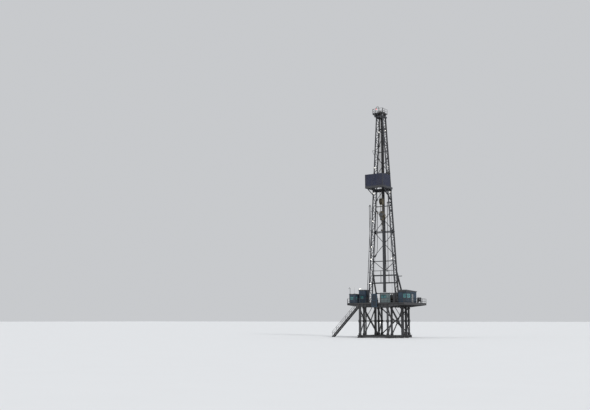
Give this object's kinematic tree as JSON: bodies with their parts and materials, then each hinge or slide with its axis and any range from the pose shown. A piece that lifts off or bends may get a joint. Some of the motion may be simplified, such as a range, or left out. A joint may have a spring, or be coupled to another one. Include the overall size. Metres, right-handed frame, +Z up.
{
  "type": "oil drilling rig (land rig with mast, at half its real size)",
  "caption": "Land drilling rig: tall laced mast on a box substructure, with racking board, hoisting block, top drive and small cabins on the drill floor, at half its real size.",
  "frame": {"origin": "the well centre on the ground, between the two base boxes", "axes": "+Z up, +X across the drill floor towards the tool house, -Y towards the pipe door and racking board"},
  "size_m": [10.91, 5.7, 26.706],
  "materials": {
    "mast_steel": "weathered",
    "base_steel": "weathered",
    "deck_steel": "worn",
    "rail_steel": "weathered",
    "machine_grey": "satin",
    "cabin_blue": "satin",
    "cabin_white": "satin",
    "roof_dark": "weathered",
    "door_pale": "satin",
    "window_glass": "tinted",
    "windwall_navy": "satin",
    "sheave_steel": "worn",
    "wire_rope": "worn",
    "hose_black": "matte",
    "block_yellow": "worn",
    "lamp_white": "lit",
    "lamp_red": "lit"
  },
  "bodies": {
    "rig": {"base_boxes": "base_steel", "cross_bracing": "base_steel", "truss_left": "base_steel", "truss_right": "base_steel", "floor_frame": "base_steel", "floor_deck": "deck_steel", "wing_platforms": "base_steel", "rotary_table": "machine_grey", "floor_rails": "rail_steel", "v_door_gate": "cabin_blue", "stair": "rail_steel", "stair_treads": "rail_steel", "doghouse": "cabin_blue", "tall_cabin": "cabin_blue", "drillers_cabin": "cabin_white", "tool_house": "cabin_blue", "house_roofs": "roof_dark", "house_windows": "window_glass", "drawworks": "machine_grey", "winch": "machine_grey", "mast_shoes": "base_steel", "mast_left_lower": "mast_steel", "mast_left_middle": "mast_steel", "mast_left_upper": "mast_steel", "mast_right_lower": "mast_steel", "mast_right_middle": "mast_steel", "mast_right_upper": "mast_steel", "mast_back_lower": "mast_steel", "mast_back_middle": "mast_steel", "mast_back_upper": "mast_steel", "a_frame": "mast_steel", "crown_frame": "mast_steel", "crown_platform": "rail_steel", "beacon": "lamp_red", "racking_board": "mast_steel", "racking_fingers": "mast_steel", "windwalls": "windwall_navy", "ladder": "rail_steel", "standpipe": "mast_steel", "rotary_hose": "hose_black", "loop_saddle": "mast_steel", "service_loop": "hose_black", "guide_beam": "mast_steel", "drilling_lines": "wire_rope", "fast_and_dead_lines": "wire_rope", "floodlights": "lamp_white"},
    "door": {"tool_house_door": "door_pale"},
    "hoist": {"travelling_block": "block_yellow", "top_drive": "block_yellow"},
    "shaft": {"drive_shaft": "sheave_steel"},
    "sheaves": {"crown_sheaves": "sheave_steel"},
    "fast_line_sheave": {"fast_sheave": "sheave_steel"}
  },
  "joints": [
    {"name": "door_hinge", "type": "hinge", "parent": "rig", "child": "door", "pos_m": [3.414, 0.381, 4.31], "axis": [0, 0, -1], "range_deg": [0, 100]},
    {"name": "block_travel", "type": "slide", "parent": "rig", "child": "hoist", "axis": [0, 0, 1], "range_m": [-6.8, 8.6], "deforming": ["drilling_lines", "rotary_hose", "service_loop"]},
    {"name": "shaft_spin", "type": "hinge", "parent": "hoist", "child": "shaft", "pos_m": [0, 0, 13.31], "axis": [0, 0, -1], "continuous": true},
    {"name": "crown_spin", "type": "hinge", "parent": "rig", "child": "sheaves", "pos_m": [0, 0, 25.91], "axis": [1, 0, 0], "continuous": true},
    {"name": "fast_spin", "type": "hinge", "parent": "rig", "child": "fast_line_sheave", "pos_m": [0.3, 0.4, 25.91], "axis": [1, 0, 0], "continuous": true}
  ]
}
